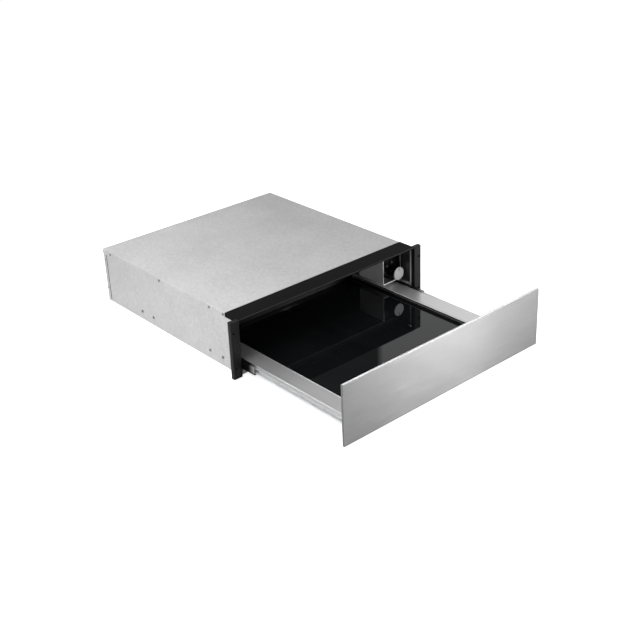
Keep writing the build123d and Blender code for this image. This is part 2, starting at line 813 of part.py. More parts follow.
with BuildPart() as front_carrier:
    with BuildSketch(Plane.XZ.offset(-carrier_back)):
        with Locations((0, panel_bottom + panel_height / 2)):
            Rectangle(carrier_width, panel_height - 2 * carrier_margin)
    extrude(amount=carrier_back - panel_inner)
    fillet(front_carrier.edges().filter_by(Axis.Y), 4)
    offset(amount=-drawer_sheet, openings=front_carrier.faces().sort_by(Axis.Y)[0])

with BuildPart() as panel_clip_right:
    clip_sheet = 1.0
    clip_bottom = side_bottom - 3.5
    with BuildSketch(Plane.XY.offset(clip_bottom)):
        bent_sheet(
            [
                (drawer_outer + 22, panel_inner + clip_sheet / 2),
                (drawer_outer + clip_sheet / 2, panel_inner + clip_sheet / 2),
                (drawer_outer + clip_sheet / 2, drawer_front + 24),
            ],
            clip_sheet,
        )
    extrude(amount=runner_level - drawer_lip - 0.2 - clip_bottom)
panel_clip_left = other_side(panel_clip_right)

with BuildPart() as panel_bumpers:
    bumper_x = overall_width / 2 - 12.5
    with BuildSketch(Plane.XZ.offset(-panel_inner)):
        with Locations((0, panel_bottom + panel_height / 2)):
            with GridLocations(2 * bumper_x, panel_height - 30, 2, 2):
                RegularPolygon(4.5, 12)
    extrude(amount=-(panel_depth - panel_sheet + 2.0))

# ---- push-to-open latch under the drawer ----
latch_y, latch_width, latch_length = front + 252, 26.0, 60.0
latch_top, plunger_level, plunger_radius, plunger_reach = 18.5, 14.0, 2.8, 8.0
latch_stroke = 4.0
with BuildPart() as latch_body:
    with BuildSketch(Plane.XY.offset(sheet)):
        with Locations((0, latch_y + latch_length / 2)):
            Rectangle(latch_width, latch_length)
    extrude(amount=latch_top - sheet)
    with BuildSketch(Plane.XZ.offset(-latch_y)):
        with Locations((0, plunger_level)):
            Circle(plunger_radius + running_gap)
    extrude(amount=-30, mode=Mode.SUBTRACT)
with BuildPart() as latch_plunger:
    with BuildSketch(Plane.XZ.offset(-latch_y + plunger_reach)):
        with Locations((0, plunger_level)):
            Circle(plunger_radius)
    extrude(amount=-(plunger_reach + 30 - latch_stroke - 1))
with BuildPart() as latch_striker:
    strike_back = latch_y - plunger_reach - 0.4 - drawer_open
    with BuildSketch(Plane.YZ.offset(-9)):
        bent_sheet(
            [
                (strike_back - 0.6, base_wall + 1.5),
                (strike_back - 0.6, ledge_level + drawer_sheet - 0.6),
                (strike_back - 20, ledge_level + drawer_sheet - 0.6),
            ],
            1.2,
        )
    extrude(amount=18)

pieces = {
    "base_pan": base_pan,
    "side_panel_left": side_panel_left,
    "side_panel_right": side_panel_right,
    "back_panel": back_panel,
    "top_cover": top_cover,
    "cover_screws": cover_screws,
    "back_screws": back_screws,
    "runner_rivets": runner_rivets,
    "front_crossbar": front_crossbar,
    "post_left": post_left,
    "post_right": post_right,
    "cavity_liner": cavity_liner,
    "rear_partition": rear_partition,
    "control_housing": control_housing,
    "control_fascia": control_fascia,
    "selector_switch": selector_switch,
    "selector_shaft": selector_shaft,
    "knob_body": knob_body,
    "knob_cap": knob_cap,
    "fan_chamber": fan_chamber,
    "heater_ring": heater_ring,
    "fan_wheel": fan_wheel,
    "fan_shaft": fan_shaft,
    "fan_motor": fan_motor,
    "motor_bracket": motor_bracket,
    "overheat_limiter": overheat_limiter,
    "terminal_block": terminal_block,
    "cable_gland": cable_gland,
    "wire_loom": wire_loom,
    "loom_clips": loom_clips,
    "runner_fixed_left": runner_fixed_left,
    "runner_fixed_right": runner_fixed_right,
    "runner_middle_left": runner_middle_left,
    "runner_middle_right": runner_middle_right,
    "runner_drawer_left": runner_drawer_left,
    "runner_drawer_right": runner_drawer_right,
    "outer_cage_left": outer_cage_left,
    "outer_cage_right": outer_cage_right,
    "inner_cage_left": inner_cage_left,
    "inner_cage_right": inner_cage_right,
    "outer_balls_left": outer_balls_left,
    "outer_balls_right": outer_balls_right,
    "inner_balls_left": inner_balls_left,
    "inner_balls_right": inner_balls_right,
    "drawer_side_left": drawer_side_left,
    "drawer_side_right": drawer_side_right,
    "drawer_floor": drawer_floor,
    "glass_plate": glass_plate,
    "glass_pads": glass_pads,
    "drawer_back": drawer_back,
    "front_panel": front_panel,
    "front_carrier": front_carrier,
    "panel_clip_left": panel_clip_left,
    "panel_clip_right": panel_clip_right,
    "panel_bumpers": panel_bumpers,
    "latch_body": latch_body,
    "latch_plunger": latch_plunger,
    "latch_striker": latch_striker,
}
os.makedirs("parts", exist_ok=True)
for name, piece in pieces.items():
    piece.part.label = name
    export_step(piece.part, f"parts/{name}.step")
print(len(pieces), "pieces")
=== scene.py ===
import json
import math

import bmesh
import bpy
from mathutils import Matrix, Vector


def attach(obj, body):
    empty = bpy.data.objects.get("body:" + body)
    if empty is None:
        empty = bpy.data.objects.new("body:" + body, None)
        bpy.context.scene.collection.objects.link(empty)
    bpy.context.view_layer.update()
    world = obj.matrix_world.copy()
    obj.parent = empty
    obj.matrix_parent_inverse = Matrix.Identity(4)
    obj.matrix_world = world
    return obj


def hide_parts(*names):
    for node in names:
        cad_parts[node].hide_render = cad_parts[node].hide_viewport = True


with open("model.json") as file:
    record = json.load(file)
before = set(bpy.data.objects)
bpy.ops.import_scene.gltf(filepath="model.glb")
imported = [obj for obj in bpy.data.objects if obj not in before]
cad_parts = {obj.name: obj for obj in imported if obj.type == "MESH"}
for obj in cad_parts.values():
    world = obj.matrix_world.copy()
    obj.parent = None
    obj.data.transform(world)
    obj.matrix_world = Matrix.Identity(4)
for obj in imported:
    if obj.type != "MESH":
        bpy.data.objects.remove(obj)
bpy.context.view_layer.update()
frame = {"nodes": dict(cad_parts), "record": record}  # metres: X right, Y back, Z up from the base of the casing
nodes = frame["nodes"]
scene = bpy.context.scene
scene.view_settings.view_transform = "Standard"
print("frame:", len(nodes), "nodes")

# the photograph's view
shot = {
    "place": (-1.4892, -1.9805, 1.2056),
    "azimuth": -40.58,
    "elevation": 24.56,
    "roll": -2.32,
    "focal": 1091.15,  # in pixels of the frame
    "centre": (319.85, 268.86),
    "frame": 640,
    "sensor": 36.0,
    "clip": (0.05, 60),
}


def makeCamera():
    azimuth, elevation, roll = (math.radians(shot[key]) for key in ("azimuth", "elevation", "roll"))
    level = math.cos(elevation)
    back = Vector((math.sin(azimuth) * level, -math.cos(azimuth) * level, math.sin(elevation)))
    right = Vector((math.cos(azimuth), math.sin(azimuth), 0))
    up = back.cross(right)
    across = right * math.cos(roll) + up * math.sin(roll)
    upright = up * math.cos(roll) - right * math.sin(roll)
    turn = Matrix((across, upright, back)).transposed().to_4x4()
    lens = bpy.data.cameras.new("camera")
    lens.sensor_width = shot["sensor"]
    lens.lens = shot["focal"] / shot["frame"] * shot["sensor"]
    lens.shift_x = 0.5 - shot["centre"][0] / shot["frame"]
    lens.shift_y = shot["centre"][1] / shot["frame"] - 0.5
    lens.clip_start, lens.clip_end = shot["clip"]
    camera = bpy.data.objects.new("camera", lens)
    camera.matrix_world = Matrix.Translation(shot["place"]) @ turn
    scene.collection.objects.link(camera)
    scene.camera = camera


makeCamera()

noiseSpan = (0.3, 0.7)  # where nearly all of a noise lies


# shader nodes, for the studio and the finishes
def newNode(tree, kind, **values):
    node = tree.nodes.new(kind)
    for name, value in values.items():
        setattr(node, name, value)
    return node


def setSockets(node, values):
    for socket, value in values.items():
        node.inputs[socket].default_value = value


def spread(tree, source, low, high, start=0.0, end=1.0):
    # start to end of the source, laid out from low to high
    node = newNode(tree, "ShaderNodeMapRange")
    setSockets(node, {"From Min": start, "From Max": end, "To Min": low, "To Max": high})
    tree.links.new(source, node.inputs["Value"])
    return node.outputs["Result"]


def around(tree, source, middle, reach):
    # a noise that wanders by reach to both sides of the middle
    return spread(tree, source, middle - reach, middle + reach, *noiseSpan)


def combine(tree, first, second, operation="ADD"):
    node = newNode(tree, "ShaderNodeMath", operation=operation)
    tree.links.new(first, node.inputs[0])
    tree.links.new(second, node.inputs[1])
    return node.outputs[0]


def finish(name, settings):
    material = bpy.data.materials.new(name)
    material.use_nodes = True
    shader = material.node_tree.nodes["Principled BSDF"]
    setSockets(shader, settings)
    return material, material.node_tree, shader


studio = {
    "floorSize": 25,
    "floorLevel": -0.0006,
    "floorShade": 0.8,
    "floorRough": 0.9,
    "floorGlow": 0.84,  # for the camera alone, so that the lit floor is white and keeps its shadow
    "floorGloss": 0.05,  # the same for what metal and glass mirror
    "surround": 0.22,  # what the matt surfaces get from all sides
    "background": 1.0,  # what the camera, metal and glass see
    "leftBackground": 0.1,  # what metal and glass see left of the backdrop's edge
    "backdropEdge": (0.719, -0.694, 0),  # square to that edge, towards its light side
    "edgeBlur": 0.003,
    "lamps": (
        # name, place, aim, size, watts, seen in gloss
        ("left", (-0.8, -0.25, 0.98), (-0.2, -0.1, 0.05), (0.7, 0.5), 8.2, True),
        ("leftBack", (-0.72, 0.6, 1.15), (-0.1, 0.1, 0.05), (0.8, 0.6), 5.6, True),
        ("leftLow", (-1.4, -1.6, 0.34), (0.2, -0.2, 0.09), (0.7, 0.4), 3.2, False),
        ("back", (0.5, 1.7, 1.2), (0, 0, 0.1), (1.2, 0.6), 2.6, True),
        ("right", (2.2, 0.7, 0.35), (0.27, 0.1, 0.07), (1.0, 0.6), 5, False),
        ("rear", (-0.3, 2.1, 0.35), (0, 0.27, 0.07), (1.2, 0.6), 6, False),
        ("rightFront", (1.11, -2.0, 0.35), (0, -0.64, 0.07), (0.46, 0.6), 32, True),
        ("farRight", (2.0, -1.75, 0.35), (0.2, -0.64, 0.07), (0.6, 0.6), 9, True),
    ),
}


def makeWorld():
    world = bpy.data.worlds.new("studio")
    scene.world = world
    world.use_nodes = True
    tree = world.node_tree
    direction = newNode(tree, "ShaderNodeTexCoord")
    across = newNode(tree, "ShaderNodeVectorMath", operation="DOT_PRODUCT")
    across.inputs[1].default_value = studio["backdropEdge"]
    tree.links.new(direction.outputs["Generated"], across.inputs[0])
    dark, light, blur = studio["leftBackground"], studio["background"], studio["edgeBlur"]
    backdrop = spread(tree, across.outputs["Value"], dark, light, -blur, blur)
    rays = newNode(tree, "ShaderNodeLightPath")
    mirrored = combine(tree, rays.outputs["Is Glossy Ray"], rays.outputs["Is Transmission Ray"])
    level = newNode(tree, "ShaderNodeMapRange")  # the surround, or the backdrop in metal and glass
    level.inputs["To Min"].default_value = studio["surround"]
    tree.links.new(backdrop, level.inputs["To Max"])
    tree.links.new(mirrored, level.inputs["Value"])
    seen = combine(tree, rays.outputs["Is Camera Ray"], level.outputs["Result"], "MAXIMUM")
    glow = tree.nodes["Background"]
    glow.inputs["Color"].default_value = (1, 1, 1, 1)
    tree.links.new(seen, glow.inputs["Strength"])


def makeFloor():
    build = bmesh.new()
    bmesh.ops.create_grid(build, x_segments=1, y_segments=1, size=studio["floorSize"])
    mesh = bpy.data.meshes.new("floor")
    build.to_mesh(mesh)
    build.free()
    floor = bpy.data.objects.new("floor", mesh)
    floor.location.z = studio["floorLevel"]
    scene.collection.objects.link(floor)
    shade = studio["floorShade"]
    material, tree, shader = finish("paleFloor", {
        "Base Color": (shade, shade, shade, 1),
        "Roughness": studio["floorRough"],
        "Specular IOR Level": 0.0,
        "Emission Color": (1, 1, 1, 1),
    })
    rays = newNode(tree, "ShaderNodeLightPath")
    glow = spread(tree, rays.outputs["Is Camera Ray"], 0, studio["floorGlow"])
    gloss = spread(tree, rays.outputs["Is Glossy Ray"], 0, studio["floorGloss"])
    tree.links.new(combine(tree, glow, gloss), shader.inputs["Emission Strength"])
    mesh.materials.append(material)


def makeLamps():
    for name, place, aim, size, watts, glossy in studio["lamps"]:
        lamp = bpy.data.lights.new(name, "AREA")
        lamp.shape = "RECTANGLE"
        lamp.size, lamp.size_y = size
        lamp.energy = watts
        holder = bpy.data.objects.new(name, lamp)
        holder.location = place
        holder.rotation_mode = "QUATERNION"
        holder.rotation_quaternion = (Vector(aim) - Vector(place)).to_track_quat("-Z", "Y")
        holder.visible_camera = False  # other views would show the lamp's panel
        holder.visible_glossy = glossy
        scene.collection.objects.link(holder)


makeWorld()
makeFloor()
makeLamps()
print("studio ready")


# parts of a finish, with scales per metre and depths in metres
def pattern(tree, kind, scale, stretch=(1, 1, 1), **inputs):
    # fixed to the piece itself
    coordinates = newNode(tree, "ShaderNodeTexCoord")
    mapping = newNode(tree, "ShaderNodeMapping")
    mapping.inputs["Scale"].default_value = stretch
    field = newNode(tree, kind)
    setSockets(field, {"Scale": scale, **inputs})
    tree.links.new(coordinates.outputs["Object"], mapping.inputs["Vector"])
    tree.links.new(mapping.outputs["Vector"], field.inputs["Vector"])
    return field


def noise(tree, scale, detail, stretch=(1, 1, 1), **inputs):
    return pattern(tree, "ShaderNodeTexNoise", scale, stretch, Detail=detail, **inputs).outputs["Fac"]


def grey(value, warm=0.0):
    return value * (1 + warm), value, value * (1 - warm)


def shades(tree, source, dark, light, start=0.0, end=1.0):
    # dark where the source is at start, light where it is at end
    node = newNode(tree, "ShaderNodeValToRGB")
    for element, place, colour in zip(node.color_ramp.elements, (start, end), (dark, light)):
        element.position = place
        element.color = (*colour, 1)
    tree.links.new(source, node.inputs["Fac"])
    return node.outputs["Color"]


def mottle(tree, source, colour, vary, start=0.0, end=1.0):
    # a colour that wanders to both sides by a share of itself
    dark, light = ([part * share for part in colour] for share in (1 - vary, 1 + vary))
    return shades(tree, source, dark, light, start, end)


def relief(tree, shader, height, depth):
    bump = newNode(tree, "ShaderNodeBump")
    bump.inputs["Distance"].default_value = depth
    tree.links.new(height, bump.inputs["Height"])
    tree.links.new(bump.outputs["Normal"], shader.inputs["Normal"])


def dress(tree, shader, colour, rough):
    tree.links.new(colour, shader.inputs["Base Color"])
    tree.links.new(rough, shader.inputs["Roughness"])


zinc = {
    "metallic": 0.12,
    "dark": 0.51,
    "light": 0.68,
    "rough": (0.42, 0.55),
    "flake": 190,
    "flakeShare": 0.62,  # in the colour, and the rest is the cloud's
    "cloud": 7,
    "grain": 900,
    "depth": 0.00004,
}


def galvanisedSheet():
    material, tree, shader = finish("galvanisedSheet", {"Metallic": zinc["metallic"]})
    flakes = pattern(tree, "ShaderNodeTexVoronoi", zinc["flake"], Randomness=1.0).outputs["Color"]
    cloud = noise(tree, zinc["cloud"], detail=3)
    grain = noise(tree, zinc["grain"], detail=2)
    share = zinc["flakeShare"]
    blend = combine(tree, spread(tree, flakes, 0, share), spread(tree, cloud, 0, 1 - share, *noiseSpan))
    colour = shades(tree, blend, grey(zinc["dark"]), grey(zinc["light"]))
    dress(tree, shader, colour, spread(tree, flakes, *zinc["rough"]))
    relief(tree, shader, grain, zinc["depth"])
    return material


brush = {
    "fine": 1500,
    "fineShare": 0.5,
    "broad": 380,
    "haze": 6,
    "squeeze": 0.05,  # of the scales along the lines, which makes the lines long
    "turn": 0.25,  # the highlight runs across the lines, a quarter turn from them
    "lineRough": 0.04,
    "hazeRough": 0.01,
    "depth": 0.000012,
}


def brushedSheet(name, along, base, rough, streak, metallic=1.0, anisotropy=0.0, tone=0.0):
    # brush lines along one axis
    gloss = {"Metallic": metallic, "Anisotropic": anisotropy, "Anisotropic Rotation": brush["turn"]}
    material, tree, shader = finish(name, gloss)
    stretch = [brush["squeeze"] if axis == along else 1 for axis in "xyz"]
    haze = noise(tree, brush["haze"], detail=2)
    fine = noise(tree, brush["fine"], 3, stretch, Roughness=0.7)
    broad = noise(tree, brush["broad"], 3, stretch, Roughness=0.6)
    share = brush["fineShare"]
    fine = spread(tree, fine, 0, share, *noiseSpan)
    broad = spread(tree, broad, 0, 1 - share, *noiseSpan)
    lines = combine(tree, fine, broad)
    uneven = spread(tree, lines, -brush["lineRough"], brush["lineRough"])
    level = combine(tree, uneven, around(tree, haze, rough, brush["hazeRough"]))
    dress(tree, shader, mottle(tree, lines, grey(base, tone), streak), level)
    relief(tree, shader, lines, brush["depth"])
    return material


paint = {"skin": 380, "cloud": 9, "vary": 0.15, "roughVary": 0.03}


def paintedMetal(name, base, rough, peel=0.00002, specular=0.5):
    # sprayed paint with a little orange peel
    material, tree, shader = finish(name, {"Specular IOR Level": specular})
    skin = noise(tree, paint["skin"], detail=2)
    cloud = noise(tree, paint["cloud"], detail=3)
    colour = mottle(tree, cloud, grey(base), paint["vary"], *noiseSpan)
    dress(tree, shader, colour, around(tree, cloud, rough, paint["roughVary"]))
    relief(tree, shader, skin, peel)
    return material


moulding = {"skin": 700, "cloud": 14, "vary": 0.12, "roughVary": 0.06, "depth": 0.00003}


def mouldedPlastic(name, base, rough, specular=0.5):
    # spark-eroded mould texture
    material, tree, shader = finish(name, {"Specular IOR Level": specular})
    skin = noise(tree, moulding["skin"], detail=3)
    cloud = noise(tree, moulding["cloud"], detail=2)
    colour = mottle(tree, cloud, base, moulding["vary"], *noiseSpan)
    dress(tree, shader, colour, around(tree, skin, rough, moulding["roughVary"]))
    relief(tree, shader, skin, moulding["depth"])
    return material


member = {
    "metallic": 0.8,
    "tip": -0.3205,  # the front end of the middle members
    "paintedLitTip": 0.018,  # length of their tip painted lit, beyond the painted reflection of the post
    "lip": 0.0222,  # up to here they are painted black, a painted shadow under the lower lip
    "lipBlur": 0.0006,
    # dark is the painted shade and reflection, light is the lit steel
    "dark": 0.012,
    "light": 0.5,
    "smear": 420,
    "smearStretch": (1, 0.2, 1),  # drawn out along the travel
    "smearSpan": (0.8, 1.1),
    "rough": (0.32, 0.46),
    "depth": 0.00001,
}


def paintedShadeSteel():
    # painted shade: black near the post as a painted reflection of it, and black on the lower lip as a painted
    # shadow, with a lit tip above the lip
    material, tree, shader = finish("paintedShadeSteel", {"Metallic": member["metallic"]})
    place = newNode(tree, "ShaderNodeTexCoord")
    spot = newNode(tree, "ShaderNodeSeparateXYZ")
    tree.links.new(place.outputs["Object"], spot.inputs["Vector"])
    tip, lip = member["tip"], member["lip"]
    # a painted reflection of the dark post, fading out towards the tip
    postReflectionFade = spread(tree, spot.outputs["Y"], 1, 0, tip, tip + member["paintedLitTip"])
    # a painted shadow on the lower lip, below this height
    above = spread(tree, spot.outputs["Z"], 0, 1, lip - member["lipBlur"], lip)
    smear = noise(tree, member["smear"], 3, member["smearStretch"])
    uneven = spread(tree, smear, *member["smearSpan"])
    paintedLitTip = combine(tree, combine(tree, postReflectionFade, above, "MULTIPLY"), uneven, "MULTIPLY")
    colour = shades(tree, paintedLitTip, grey(member["dark"]), grey(member["light"]))
    dress(tree, shader, colour, spread(tree, smear, *member["rough"]))
    relief(tree, shader, smear, member["depth"])
    return material


glass = {
    "gloss": {"IOR": 1.5, "Specular IOR Level": 0.27},
    "wipe": 14,
    "wipeStretch": (1, 0.35, 1),
    "wipeSwirl": 0.6,
    "dark": 0.006,
    "light": 0.009,
    "warm": -0.1,
    "rough": (0.004, 0.012),
    "roughSpan": (0.35, 0.7),
}


def toughenedGlass():
    # black back print under polished glass, with faint wiping marks in the gloss
    material, tree, shader = finish("toughenedGlass", glass["gloss"])
    wipe = noise(tree, glass["wipe"], 4, glass["wipeStretch"], Distortion=glass["wipeSwirl"])
    dark, light = (grey(glass[key], glass["warm"]) for key in ("dark", "light"))
    rough = spread(tree, wipe, *glass["rough"], *glass["roughSpan"])
    dress(tree, shader, shades(tree, wipe, dark, light, *noiseSpan), rough)
    return material


finishes = {
    "galvanised_steel": galvanisedSheet(),
    "stainless_front": brushedSheet("brushedFront", "x", 0.26, 0.33, 0.07, 0.95, anisotropy=0.85),
    "drawer_steel": brushedSheet("brushedDrawer", "y", 0.74, 0.33, 0.06, 0.7),
    "runner_steel": brushedSheet("rolledRunner", "y", 0.76, 0.42, 0.05, 0.5, tone=-0.01),
    # painted shade and a painted reflection of the post on the middle members
    "blackened_steel": paintedShadeSteel(),
    "plain_steel": brushedSheet("plainSteel", "y", 0.42, 0.38, 0.1),
    "cage_steel": brushedSheet("cageSteel", "y", 0.4, 0.4, 0.08),
    "screw_steel": brushedSheet("screwSteel", "z", 0.26, 0.4, 0.15, 0.9),
    "ball_steel": brushedSheet("ballSteel", "x", 0.7, 0.1, 0.03),
    "knob_metal": brushedSheet("turnedMetal", "x", 0.43, 0.33, 0.09),
    "heater_metal": brushedSheet("heaterMetal", "x", 0.14, 0.55, 0.25, tone=0.03),
    "motor_iron": brushedSheet("motorIron", "x", 0.18, 0.5, 0.3),
    "black_paint": paintedMetal("satinBlackPaint", 0.006, 0.48, specular=0.035),
    "black_enamel": paintedMetal("blackEnamel", 0.028, 0.22, peel=0.000006, specular=0.3),
    "painted_grey": paintedMetal("greyPaint", 0.74, 0.35),
    "black_moulding": mouldedPlastic("blackMoulding", (0.007, 0.007, 0.0075), 0.46, specular=0.2),
    "gloss_black": paintedMetal("glossBlack", 0.004, 0.06, peel=0.000002, specular=0.14),
    "black_glass": toughenedGlass(),
    "black_rubber": mouldedPlastic("blackRubber", (0.018, 0.018, 0.018), 0.7),
    # dark grey paint for the crossbar's edges, a painted highlight
    "painted_highlight_bar": paintedMetal("paintedHighlightBar", 0.03, 0.4, specular=0.1),
    # pale paint for bright edges, a painted highlight
    "painted_highlight_edge": paintedMetal("paintedHighlightEdge", 0.85, 0.35),
    "clear_rubber": mouldedPlastic("clearRubber", (0.45, 0.46, 0.46), 0.45),
    "cream_plastic": mouldedPlastic("creamPlastic", (0.6, 0.57, 0.46), 0.5),
    "brown_plastic": mouldedPlastic("brownPlastic", (0.06, 0.036, 0.022), 0.45),
    "grey_plastic": mouldedPlastic("greyPlastic", (0.16, 0.16, 0.165), 0.5),
}


def dressNodes():
    slots = {part["node"]: part["material_slot"] for part in frame["record"]["subparts"]}
    for name, piece in nodes.items():
        piece.data.materials.clear()
        piece.data.materials.append(finishes[slots[name]])


dressNodes()
print("finishes:", len(finishes))

# the pieces are worked in millimetres
millimetre = 0.001
near = 0.01  # points this close count as one
sharpBend = 35  # degrees, above which an edge is shaded sharp
rodEase = 0.35  # of a rod's radius, at its ends


def line(build, points):
    # edges from point to point
    verts = [build.verts.new(point) for point in points]
    return [build.edges.new(pair) for pair in zip(verts, verts[1:])]


def turned(profile, steps=24):
    # a lathe shape about Z from (radius, height) pairs
    build = bmesh.new()
    outline = line(build, [(radius, 0, height) for radius, height in profile])
    bmesh.ops.spin(
        build, geom=build.verts[:] + outline, axis=(0, 0, 1), cent=(0, 0, 0),
        angle=math.tau, steps=steps, use_merge=True,
    )
    bmesh.ops.remove_doubles(build, verts=build.verts, dist=near)
    return build


def moved(build, place):
    bmesh.ops.transform(build, matrix=place, verts=build.verts)
    return build


def rod(start, end, radius, steps=12):
    # a round bar between two points, with eased ends
    start, end = Vector(start), Vector(end)
    length = (end - start).length
    soft = rodEase * radius
    lowEnd = [(0, 0), (radius - soft, 0), (radius, soft)]
    highEnd = [(radius, length - soft), (radius - soft, length), (0, length)]
    turn = (end - start).to_track_quat("Z", "Y").to_matrix().to_4x4()
    return moved(turned(lowEnd + highEnd, steps), Matrix.Translation(start) @ turn)


def rounded(build, bends, radius, steps=3):
    bmesh.ops.bevel(
        build, geom=bends, offset=radius, segments=steps, profile=0.5, affect="EDGES", material=-1,
    )


def slab(low, high, soft):
    # a block with rounded edges
    low, high = Vector(low), Vector(high)
    build = bmesh.new()
    bmesh.ops.create_cube(build, size=1)
    bmesh.ops.scale(build, vec=high - low, verts=build.verts)
    bmesh.ops.translate(build, vec=(low + high) / 2, verts=build.verts)
    rounded(build, build.edges[:], soft, steps=2)
    return build


def joined(shapes, places=(Matrix(),)):
    # one mesh of the shapes, with a copy of each at every place
    whole = bmesh.new()
    for shape in shapes:
        source = bpy.data.meshes.new("source")
        shape.to_mesh(source)
        shape.free()
        for place in places:
            count = len(whole.verts)
            whole.from_mesh(source)
            whole.verts.ensure_lookup_table()
            bmesh.ops.transform(whole, matrix=place, verts=whole.verts[count:])
        bpy.data.meshes.remove(source)
    return whole


def pull(build, edges, shift):
    made = bmesh.ops.extrude_edge_only(build, edges=edges)["geom"]
    verts = [item for item in made if isinstance(item, bmesh.types.BMVert)]
    bmesh.ops.translate(build, vec=shift, verts=verts)


def bendsOf(build):
    # the edges at which a folded sheet turns
    return [edge for edge in build.edges if len(edge.link_faces) == 2 and edge.calc_face_angle(0) > 1]


def thicken(piece, sheet):
    wall = piece.modifiers.new("sheet", "SOLIDIFY")
    wall.thickness = sheet * millimetre
    wall.offset = 0
    wall.use_even_offset = True


def settle(build, name, slot, body, stands=(), coat=None):
    # the shape in metres, with its finish and the body that it rides on
    bmesh.ops.recalc_face_normals(build, faces=build.faces)
    bmesh.ops.scale(build, vec=(millimetre, millimetre, millimetre), verts=build.verts)
    mesh = bpy.data.meshes.new(name)
    build.to_mesh(mesh)
    build.free()
    mesh.polygons.foreach_set("use_smooth", [True] * len(mesh.polygons))
    mesh.set_sharp_from_angle(angle=math.radians(sharpBend))
    mesh.materials.append(finishes[coat or slot])
    piece = bpy.data.objects.new(name, mesh)
    scene.collection.objects.link(piece)
    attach(piece, body)
    if stands:
        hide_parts(*stands)
    return piece


fasteners = {
    # side is the wall's outer face, recess is radius and depth, places are Y and Z on both walls
    "coverScrews": {
        "stands": "cover_screws", "side": 270.0, "radius": 3.2, "height": 1.4,
        "shank": (1.2, 5), "recess": (1.95, 1.0), "lobeDepth": 0.14,
        "places": ((-226.5, 135), (-175.5, 135), (21.5, 135), (236.5, 135)),
    },
    "backScrews": {
        "stands": "back_screws", "side": 269.2, "radius": 2.8, "height": 0.7,
        "shank": (1.2, 4), "recess": (1.7, 0.55), "lobeDepth": 0.14,
        "places": ((266.15, 36), (266.15, 112)),
    },
    "runnerRivets": {
        "stands": "runner_rivets", "side": 269.2, "radius": 4.0, "height": 1.6,
        "shank": (1.4, 2), "recess": (2.1, 1.35), "lobeDepth": 0,
        "places": ((-212.5, 22), (-164.5, 22), (65.5, 22), (113.5, 22)),
    },
}
head = {
    "dome": ((1, 0.25), (0.93, 0.55), (0.8, 0.8), (0.62, 1)),  # shares of radius and height
    "rim": 0.25,
    "chamfer": 0.12,
    "taper": 0.92,
    "dish": 0.1,
    "lobes": 6,
}


def makeHead(value):
    # a screw or rivet along Z, with the wall at 0
    radius, height = value["radius"], value["height"]
    shank, length = value["shank"]
    hole, depth = value["recess"]
    profile = [(0, -length), (shank, -length), (shank, 0), (radius, 0)]
    profile += [(radius * out, height * up) for out, up in head["dome"]]
    profile += [(hole + head["rim"], height), (hole, height - head["chamfer"])]
    profile += [(head["taper"] * hole, height - depth), (0, height - depth - head["dish"])]
    build = turned(profile)
    for vert in build.verts:  # the recess of a screw has lobes
        if vert.co.z > 0 and math.hypot(vert.co.x, vert.co.y) < hole + head["rim"] / 2:
            wave = math.cos(head["lobes"] * math.atan2(vert.co.y, vert.co.x))
            vert.co.x *= 1 - value["lobeDepth"] * wave
            vert.co.y *= 1 - value["lobeDepth"] * wave
    return build


def makeFasteners():
    for name, value in fasteners.items():
        places = []
        for side in (-1, 1):
            turn = Matrix.Rotation(side * math.pi / 2, 4, "Y")
            spots = [(side * value["side"], y, z) for y, z in value["places"]]
            places += [Matrix.Translation(spot) @ turn for spot in spots]
        heads = joined([makeHead(value)], places)
        settle(heads, name, "screw_steel", "casing", (value["stands"],))


makeFasteners()
print("fasteners made")

liner = {
    "halfWidth": 268.0,
    "bottom": 43.0,
    "ceiling": 111.6,
    "header": 129.0,  # height of the turned-up front
    "front": -269.5,
    "turnUp": -234.5,
    "back": 145.5,
    "sheet": 0.8,
    "bend": 1.4,
    "loomSlot": (234.3, -168.5, 10, 22),  # centre and size
}


def cutSlot(build, x, y, width, depth):
    # cut along its four sides, then emptied
    middle = Vector((x, y, 0))
    for normal, reach in ((Vector((1, 0, 0)), width / 2), (Vector((0, 1, 0)), depth / 2)):
        for side in (-1, 1):
            every = build.verts[:] + build.edges[:] + build.faces[:]
            spot = middle + side * reach * normal
            bmesh.ops.bisect_plane(build, geom=every, plane_co=spot, plane_no=normal)
    inside = []
    for face in build.faces:
        centre = face.calc_center_median()
        if abs(centre.x - x) < width / 2 and abs(centre.y - y) < depth / 2:
            inside.append(face)
    bmesh.ops.delete(build, geom=inside, context="FACES")


def makeLiner():
    # an inverted trough, its front edge turned up behind the crossbar
    half, ceiling, turnUp = liner["halfWidth"], liner["ceiling"], liner["turnUp"]
    corners = ((-half, liner["bottom"]), (-half, ceiling), (half, ceiling), (half, liner["bottom"]))
    build = bmesh.new()
    left, top, right = line(build, [(x, turnUp, z) for x, z in corners])
    pull(build, [left, top, right], (0, liner["back"] - turnUp, 0))
    pull(build, [left, right], (0, liner["front"] - turnUp, 0))
    rise = (0, 0, liner["header"] - ceiling)
    pull(build, [top], rise)

    def onWingTop(vert):
        return abs(vert.co.z - ceiling) < near and vert.co.y < turnUp + near

    wings = [edge for edge in build.edges if all(map(onWingTop, edge.verts)) and edge != top]
    pull(build, wings, rise)
    bmesh.ops.remove_doubles(build, verts=build.verts, dist=near)
    rounded(build, bendsOf(build), liner["bend"])
    cutSlot(build, *liner["loomSlot"])
    piece = settle(build, "cavityLiner", "black_enamel", "casing", ("cavity_liner",))
    thicken(piece, liner["sheet"])


makeLiner()

